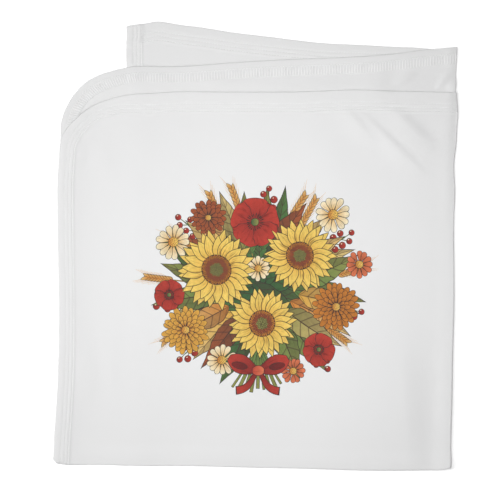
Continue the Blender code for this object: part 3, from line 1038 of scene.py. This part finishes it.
# Flat blades, one for each root. The middle line is root + length * (t * way + (bend * t^2 + twist *
# t^3) * aside) and each side stands width * shape(t) * s off it. The ink runs along t from one colour
# to another, each a name or linear values.
def blades(root, angle, length, width, shape, inkRoot, inkTip, height, rows=11, columns=7, bend=0.0,
           twist=0.0, tilt=0.0, rootRim=False, fade=1.0, vary=0.10, veins=0.0, streaks=0.0,
           line=bouquet["line"]):
    root = np.atleast_2d(np.array(root, float))
    count = len(root)
    angle, length, width, height, bend, twist, tilt = (
        np.broadcast_to(np.asarray(value, float), (count,))[:, None, None]
        for value in (np.radians(angle), length, width, height, bend, twist, tilt)
    )
    t = ((1 - np.cos(math.pi * np.linspace(0, 1, rows))) / 2)[None, :, None]
    s = np.linspace(-1, 1, columns)[None, None, :]
    off, slope = bend * t**2 + twist * t**3, 2 * bend * t + 3 * twist * t**2
    wayX, wayY = np.cos(angle), np.sin(angle)
    size = np.hypot(1, slope)
    sideX, sideY = (-wayY - slope * wayX) / size, (wayX - slope * wayY) / size
    half = np.maximum(width * shapes[shape](t), 0.04)
    x = root[:, 0, None, None] + length * (t * wayX - off * wayY) + sideX * half * s
    y = root[:, 1, None, None] + length * (t * wayY + off * wayX) + sideY * half * s
    rim = np.minimum(half * (1 - np.abs(s)), length * (1 - t) + 0 * s)
    if rootRim:
        rim = np.minimum(rim, length * t + 0 * s)
    first, last = (linearInk(ink) if isinstance(ink, str) else np.array(ink) for ink in (inkRoot, inkTip))
    first, last = (np.atleast_2d(ink)[:, None, None, :] for ink in (first, last))
    dye = first + (last - first) * t[..., None] ** fade + 0 * s[..., None]
    dye = dye * (1 + vary * (chance.random(count)[:, None, None, None] - 0.5))
    seed = chance.random(count)[:, None, None]
    grid = np.zeros(x.shape)
    index = np.arange(x.size).reshape(x.shape)
    return {
        "xy": np.stack((x, y), -1).reshape(-1, 2),
        "height": (grid + height + tilt * s).ravel(),
        "rim": rim.ravel(),
        "ink": np.broadcast_to(dye, (*x.shape, 3)).reshape(-1, 3),
        "blade": np.stack((grid + s, grid + t, grid + seed), -1).reshape(-1, 3),
        "strokes": np.stack((grid + veins, grid + streaks, grid + line), -1).reshape(-1, 3),
        "faces": np.stack((index[:, :-1, :-1], index[:, 1:, :-1], index[:, 1:, 1:], index[:, :-1, 1:]),
                          -1).reshape(-1, 4),
    }


# Round shapes about their middles, with a line all round.
def discs(middle, radius, inkRoot, inkTip, height, rows, **more):
    root = np.array(middle, float) - np.stack((radius, 0 * radius), -1)
    return blades(root, 0, 2 * radius, radius, "round", inkRoot, inkTip, height, rows, rootRim=True, **more)


# The way at an angle in degrees, as x, y, one for each angle.
def wayAt(degrees):
    return np.stack((np.cos(np.radians(degrees)), np.sin(np.radians(degrees))), -1)


# Places round x, y at angles in degrees.
def ringPlaces(x, y, radius, degrees):
    return np.array((x, y)) + np.asarray(radius)[..., None] * wayAt(degrees)


# Two rings of pointed petals, then a dark disc whose seeds stand at the golden angle, root of n outwards.
def sunflower(x, y, radius, petals, high):
    base = 14 + 9 * high
    even = np.arange(petals) * 360 / petals
    parts = []
    for ring, (long, first) in enumerate(((radius, "amber"), (radius * 0.86, "gold"))):
        angle = even + ring * 180 / petals + chance.uniform(-4, 4, petals)
        reach = (long - radius * 0.30) * chance.uniform(0.92, 1.04, petals)
        parts.append(blades(
            ringPlaces(x, y, radius * 0.30, angle), angle, reach, radius * 0.135, "pointed", first, "yellow",
            base + 2 * ring, 15, 5, tilt=0.7, bend=chance.uniform(-0.10, 0.10, petals), streaks=1.0, fade=0.6,
        ))
    parts.append(discs((x, y), radius * 0.37, "dark", "dark", base + 4, 17, columns=17))
    n = np.arange(int(radius * 5.6))
    turn, share = n * bouquet["seedTurn"], 0.345 / 0.37 * np.sqrt((n + 0.5) / len(n))
    outer = np.where((share < 0.74)[:, None], linearInk("rust"), linearInk("amber"))
    tones = np.where((share < 0.42)[:, None], linearInk("olive"), outer)
    parts.append(blades(
        ringPlaces(x, y, radius * 0.37 * share - 0.8, turn), turn, 1.9, 0.62, "round", tones * 0.5, tones,
        base + 5, 8, 5, line=0.0, vary=0.5,
    ))
    return parts


# Five wide petals that overlap, a dark eye and a ring of dots about it.
def poppy(x, y, radius, turned):
    five, dots = np.arange(5), np.arange(22) * 360 / 22
    angle = turned + five * 72 + chance.uniform(-5, 5, 5)
    petals = blades(
        ringPlaces(x, y, radius * 0.05, angle), angle, radius * chance.uniform(0.94, 1.05, 5), radius * 0.60,
        "fan", "crimson", "red", 10 + five * 0.9, 19, 15, tilt=0.5, streaks=1.0, fade=0.55,
    )
    eye = discs((x, y), radius * 0.17, "deepLeaf", "olive", 16, 9, columns=9)
    return [petals, eye, blades(
        ringPlaces(x, y, radius * 0.20, dots), dots + chance.uniform(-8, 8, 22),
        radius * 0.15 * chance.uniform(0.8, 1.3, 22), 0.55, "spoon", "dark", "outline", 17, 6, 3, line=0.0,
    )]


# Rings of round-tipped petals, each ring shorter and lying on the last, about a dotted eye.
def aster(x, y, radius, petals, rings, first, last):
    parts = []
    eye = radius * (0.30 if rings == 1 else 0.17)
    for ring in range(rings):
        count = petals - 2 * ring
        long = radius * (1 - 0.20 * ring)
        angle = np.arange(count) * 360 / count + 11 * ring + chance.uniform(-5, 5, count)
        parts.append(blades(
            ringPlaces(x, y, eye * 0.7, angle), angle, (long - eye * 0.7) * chance.uniform(0.92, 1.05, count),
            2.55 * long / count, "spoon", first, last, 8 + 1.6 * ring, 12, 5, tilt=0.6, streaks=0.8,
            fade=0.7, line=0.6,
        ))
    top = 8 + 1.6 * rings + 0.6
    parts.append(discs((x, y), eye, "amber", "yellow", top, 9, columns=9, line=0.6))
    n = np.arange(26)
    turn = n * bouquet["seedTurn"]
    parts.append(blades(
        ringPlaces(x, y, eye * 0.82 * np.sqrt((n + 0.5) / len(n)), turn), turn, eye * 0.20, eye * 0.095,
        "round", "brown", "rust", top + 1, 4, 3, line=0.0,
    ))
    return parts


# An ear: a stalk, pairs of grains that lean out from it, and a long awn from each grain.
def wheatEar(degrees, start, end, bend):
    way, aside = wayAt(degrees), wayAt(degrees + 90)
    root, long = way * start, end - start
    stalk = blades(root, degrees, long, 0.65, "stem", "olive", "amber", 2, 15, 3, bend=bend, line=0.3)
    grains = np.arange(18)
    t = np.linspace(0.52, 0.98, len(grains))
    side = np.where(grains % 2, 1, -1)
    places = root + long * (t[:, None] * way + (bend * t**2)[:, None] * aside)
    lean = degrees + np.degrees(np.arctan(2 * bend * t)) + side * 24
    awns = blades(places, lean + side * 4, 17 * chance.uniform(0.9, 1.15, len(grains)), 0.30, "awn",
                  "amber", "gold", 3, 6, 3, bend=-0.10 * side, line=0.0)
    return [stalk, awns, blades(places, lean, 8.2, 2.1, "pointed", "amber", "straw", 4 + 0.15 * grains,
                                9, 5, streaks=0.6, line=0.5)]


# A twig with round berries at the ends of short stalks, each with a small light on it.
def berrySpray(degrees, start, length, berries):
    way = wayAt(degrees)
    root, stalk = way * start, 8.5
    twig = blades(root, degrees, length * 0.72, 0.6, "stem", "brown", "leaf", 2, 9, 3, line=0.3)
    side = np.where(np.arange(berries) % 2, 1.0, -1.0)
    side[-1] = 0.1
    angle = degrees + side * 42
    places = root + length * np.linspace(0.30, 0.72, berries)[:, None] * way
    stalks = blades(places, angle, stalk, 0.4, "stem", "leaf", "brown", 2.5, 4, 3, line=0.0)
    ends = places + stalk * wayAt(angle)
    size = chance.uniform(3.0, 3.9, berries)
    fruit = discs(ends, size, "crimson", "red", 5 + 0.1 * np.arange(berries), 11, columns=9, line=0.6)
    return [twig, stalks, fruit, blades(ends + np.array((-1.5, 1.3)), 20, 1.5, 0.5, "round", "cream",
                                        "cream", 6.5, 5, 3, line=0.0)]


# Leaves that point away from the middle and end on the bouquet's oval or a share of it, with none where
# the stems come out.
def leafRing(count, start, reach, width, first, last, high):
    angle = np.arange(count) * 360 / count + chance.uniform(-4, 4, count)
    angle = angle[np.abs(angle - 270) > 16]
    leaf = np.arange(len(angle))
    oval = 1 / np.hypot(*(wayAt(angle) / bouquet["oval"]).T)
    root = chance.uniform(start, start + 8, len(leaf))
    pick = leaf * 5 % len(first)
    return blades(
        ringPlaces(0, 0, root, angle), angle, oval * reach * chance.uniform(0.90, 1.0, len(leaf)) - root,
        width * chance.uniform(0.85, 1.1, len(leaf)), "leaf", [linearInk(first[i]) for i in pick],
        [linearInk(last[i]) for i in pick], high + leaf % 2 * 1.6 + 0.05 * leaf, 26, 11,
        bend=chance.uniform(-0.16, 0.16, len(leaf)), veins=7.0, streaks=0.5, vary=0.2,
    )


# The cut stems below the tie and a red bow over them.
def tiedStems():
    stem = np.arange(9)
    lean = np.linspace(-25, 25, len(stem))
    root = np.stack((lean * 0.16, -62.0 + 0 * lean), -1)
    knot = np.array((0.0, -84.0))
    sides = np.array(((-1, 1), (1, 1)))
    return [
        blades(root, -90 + lean, chance.uniform(40, 47, len(stem)), chance.uniform(1.3, 1.9, len(stem)),
               "stem", "leaf", "olive", 4 + stem % 3 * 0.6, 12, 5, bend=lean / 300, streaks=0.8, line=0.55),
        blades(sides * (2, -86), (236, 304), 27, 4.4, "tail", "crimson", "red", (12, 12.6), 22, 9,
               bend=(0.5, -0.5), twist=(-0.75, 0.75), streaks=0.8),
        blades((knot, knot), (166, 14), 33, 10.0, "loop", "crimson", "red", 14, 20, 11,
               bend=(-0.16, 0.16), streaks=0.8),
        blades(knot + sides * (11, 3.0), (168, 12), 17, 3.7, "round", linearInk("crimson") * 0.6, "crimson",
               15, 13, 7, rootRim=True, line=0.6),
        blades(knot + (-6.5, 0), 0, 13, 5.6, "round", "red", "coral", 16, 13, 9, rootRim=True, streaks=0.6),
    ]


# Joins batches of blades into one piece on the front layer's face, a thin wall that sinks into the cloth.
def printedPiece(name, batches):
    joined = {key: np.concatenate([batch[key] for batch in batches]) for key in batches[0] if key != "faces"}
    starts = np.cumsum([0] + [len(batch["xy"]) for batch in batches])
    faces = np.concatenate([batch["faces"] + start for batch, start in zip(batches, starts)])
    u = bouquet["middle"][0] + joined["xy"][:, 0] / 1000
    v = bouquet["middle"][1] - joined["xy"][:, 1] / 1000
    over = cloth["fabric"] / 2 + bouquet["lift"] + bouquet["step"] * joined["height"]
    points = foldedPlace(u, v, -over, 0.0)
    piece = meshFromFaces(name, points, faces, np.stack((u, v), -1))
    ink = np.concatenate((np.clip(joined["ink"], 0, 1), np.ones((len(points), 1))), 1)
    for key, kind, field, values in (
        ("ink", "FLOAT_COLOR", "color", ink),
        ("blade", "FLOAT_VECTOR", "vector", joined["blade"]),
        ("strokes", "FLOAT_VECTOR", "vector", joined["strokes"]),
        ("rim", "FLOAT", "value", joined["rim"]),
    ):
        layer = piece.data.attributes.new(key, kind, "POINT")
        layer.data.foreach_set(field, np.ascontiguousarray(values, np.float32).ravel())
    return thickened(piece, bouquet["wall"], -1.0)


# Ink in the knit: its own colour, darker streaks and leaf veins along each blade, and a dark line where
# the distance to the rim is under the line's width. White cotton shows a little in the knit's valleys.
def inkMaterial():
    nodes = Nodes("printedInk")
    height, place = knitHeight(nodes)
    ink, rim, blade, strokes = (
        nodes.add("Attribute", attribute_name=name).outputs[output]
        for name, output in (("ink", "Color"), ("rim", "Fac"), ("blade", "Vector"), ("strokes", "Vector"))
    )
    aside, along, seed = nodes.parts(blade)
    veins, streaks, line = nodes.parts(strokes)
    away = nodes.maths("ABSOLUTE", aside)
    hasVeins = nodes.clamped("MULTIPLY", veins, 1.0)

    stretched = nodes.add("CombineXYZ")
    nodes.feed(stretched.inputs, (nodes.times(aside, 5.0), nodes.times(along, 1.6), nodes.times(seed, 90.0)))
    streak = nodes.clamped("MULTIPLY_ADD", nodes.noise(stretched.outputs[0], 1.0, 2.0, 0.6), 9.0, -4.9)
    streak = nodes.times(streak, nodes.maths("MULTIPLY_ADD", along, -0.7, 0.95))
    streak = nodes.times(streak, nodes.times(streaks, 0.75))

    rib = nodes.clamped("MULTIPLY_ADD", away, -26.0, 1.6)
    lean = nodes.maths("MULTIPLY_ADD", away, -0.9, nodes.times(along, veins))
    twig = nodes.clamped("MULTIPLY_ADD", nodes.maths("PINGPONG", lean, 0.5), -12.0, 1.3)
    vein = nodes.times(nodes.maths("MAXIMUM", rib, nodes.times(twig, 0.7)), hasVeins)
    shade = nodes.times(nodes.times(nodes.clamped("MULTIPLY_ADD", aside, 9.0, 0.5), hasVeins), 0.35)

    uneven = nodes.noise(place, 260, 3.0, 0.6)
    edge = nodes.maths("MULTIPLY_ADD", uneven, 0.5, nodes.maths("SUBTRACT", line, rim))
    outline = nodes.clamped("MULTIPLY_ADD", edge, 6.0, -1.5)
    outline = nodes.times(outline, nodes.clamped("MULTIPLY", line, 20.0))
    blotches = nodes.times(nodes.maths("SUBTRACT", uneven, 0.35), 0.5)

    tone = ink
    for share, name, blend in (
        (blotches, "dark", "MULTIPLY"), (shade, "dark", "MIX"), (streak, "brown", "MULTIPLY"),
        (vein, "dark", "MIX"), (outline, "outline", "MIX"),
    ):
        tone = nodes.mixed(share, tone, (*linearInk(name), 1), blend)
    tone = nodes.mixed(nodes.clamped("MULTIPLY_ADD", height, -0.05, 0.07), tone, knit["colour"])
    return fabricMaterial(nodes, tone, height, knit["bump"], knit["roughness"], knit["sheen"])


panel = knitPanel()
print("panel", len(panel.data.polygons), "faces")
paths = {name: edgePath(name) for name in ("roundedEnd", "frontSide", "underSide", "squareEnd")}
hems, needles, loopers = (
    [make(paths[name], kind + name[0].upper() + name[1:]) for name in paths]
    for make, kind in ((hemPiece, "hem"), (needleRows, "needleRows"), (looperLadder, "looper"))
)
print("hems", [len(piece.data.polygons) for piece in hems], "faces")
print("threads", [len(piece.data.polygons) for piece in needles + loopers], "faces")


# All blades that a function makes of the rows of one of the bouquet's tables.
def bladesOf(make, table):
    return [part for row in bouquet[table] for part in make(*row)]


greenery = [leafRing(*row) for row in bouquet["leafRings"]]
prints = [
    printedPiece("printLeaves", greenery + bladesOf(wheatEar, "wheatEars") + bladesOf(berrySpray, "sprays")),
    printedPiece("printSmallFlowers", bladesOf(poppy, "poppies") + bladesOf(aster, "asters")),
    printedPiece("printSunflowers", bladesOf(sunflower, "sunflowers")),
    printedPiece("printStemsAndBow", tiedStems()),
]
print("print", [len(piece.data.polygons) for piece in prints], "faces")

clothPieces, threadPieces = [panel, *hems], [*needles, *loopers]
for pieces, material in (
    (clothPieces, cottonMaterial()), (threadPieces, threadMaterial()), (prints, inkMaterial())
):
    for piece in pieces:
        piece.data.materials.append(material)
        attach(piece, "root")
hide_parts("knit_panel")
for piece, node in zip(hems, ("hem_rounded_end", "hem_front_side", "hem_under_side", "hem_square_end")):
    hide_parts(node)

light = {
    "zenith": 0.375,
    "horizon": 0.370,
    "floor": (0.90, 0.90, 0.90, 1),
    "floorPlace": (3.0, -0.0003),  # its half width, and its height
    "floorGlow": 0.42,
    "floorGlowOnCloth": 0.16,  # the floor's glow to all other rays, which lights the cloth's edges from below
    "boxes": {  # place, size and power
        "frontSoftbox": ((-0.010, -0.014, 0.46), 0.26, 0.85),
        "sideSoftbox": ((-2.95, 0.10, 2.95), 1.00, 71.0),
    },
    "seenBy": ("Is Camera Ray", "Is Glossy Ray", "Is Transmission Ray"),  # to which all is white
}
camera = {
    "middle": (-0.0060, -0.0041),  # what it looks straight down on
    "high": 2.5,
    "top": 0.004,  # height of the cloth's face, at which the picture is this wide:
    "across": 0.515,
}


# A plain floor that the camera, gloss and glass see as white, with the object's shadow left on it; to all
# other rays it glows faintly, and that glow lights the cloth's edges.
def studioFloor():
    half, high = light["floorPlace"]
    x, y = np.meshgrid(*[np.linspace(-half, half, 40)] * 2)
    piece = meshFromGrid("studioFloor", np.stack((x, y, high + 0 * x), -1), np.stack((x, y), -1))
    nodes = Nodes("floorWhite")
    rays = nodes.add("LightPath").outputs
    eye, gloss, glass = (rays[name] for name in light["seenBy"])
    seen = nodes.maths("MAXIMUM", nodes.maths("MAXIMUM", eye, gloss), glass)
    glowOnCloth = light["floorGlowOnCloth"]
    piece.data.materials.append(nodes.finish(
        Base_Color=nodes.mixed(seen, light["floor"], (1, 1, 1, 1)), Roughness=1.0, Specular_IOR_Level=0.0,
        Emission_Color=(1, 1, 1, 1),
        Emission_Strength=nodes.maths("MULTIPLY_ADD", seen, light["floorGlow"] - glowOnCloth, glowOnCloth),
    ))


# A pale sky that is lighter overhead lights the cloth; the camera, gloss and glass see it white.
def studioLight():
    scene = bpy.context.scene
    scene.world = bpy.data.worlds.new("softStudio")
    scene.world.use_nodes = True
    tree = scene.world.node_tree
    place, parts, level, seen = (
        tree.nodes.new("ShaderNode" + kind) for kind in ("TexCoord", "SeparateXYZ", "MapRange", "LightPath")
    )
    tree.links.new(place.outputs["Generated"], parts.inputs[0])
    tree.links.new(parts.outputs[2], level.inputs["Value"])
    level.inputs["To Min"].default_value = light["horizon"]
    level.inputs["To Max"].default_value = light["zenith"]
    strength = level.outputs[0]
    for name in light["seenBy"]:
        brighter = tree.nodes.new("ShaderNodeMath")
        brighter.operation = "MAXIMUM"
        tree.links.new(seen.outputs[name], brighter.inputs[0])
        tree.links.new(strength, brighter.inputs[1])
        strength = brighter.outputs[0]
    tree.nodes["Background"].inputs[0].default_value = (1, 1, 1, 1)
    tree.links.new(strength, tree.nodes["Background"].inputs[1])
    for name, (place, size, power) in light["boxes"].items():
        lamp = bpy.data.lights.new(name, "AREA")
        lamp.shape = "DISK"
        lamp.size = size
        lamp.energy = power
        holder = bpy.data.objects.new(name, lamp)
        scene.collection.objects.link(holder)
        holder.location = place
        holder.rotation_euler = Vector(place).to_track_quat("Z", "Y").to_euler()
        holder.visible_camera = False


# Its lens is the sensor's width times the distance to the cloth's face over the picture's width there.
def photoCamera():
    lens = bpy.data.cameras.new("photoCamera")
    lens.lens = lens.sensor_width * (camera["high"] - camera["top"]) / camera["across"]
    lens.clip_end = 50
    holder = bpy.data.objects.new("photoCamera", lens)
    bpy.context.scene.collection.objects.link(holder)
    holder.location = (*camera["middle"], camera["high"])
    bpy.context.scene.camera = holder


studioFloor()
studioLight()
photoCamera()
bpy.context.scene.view_settings.view_transform = "Standard"
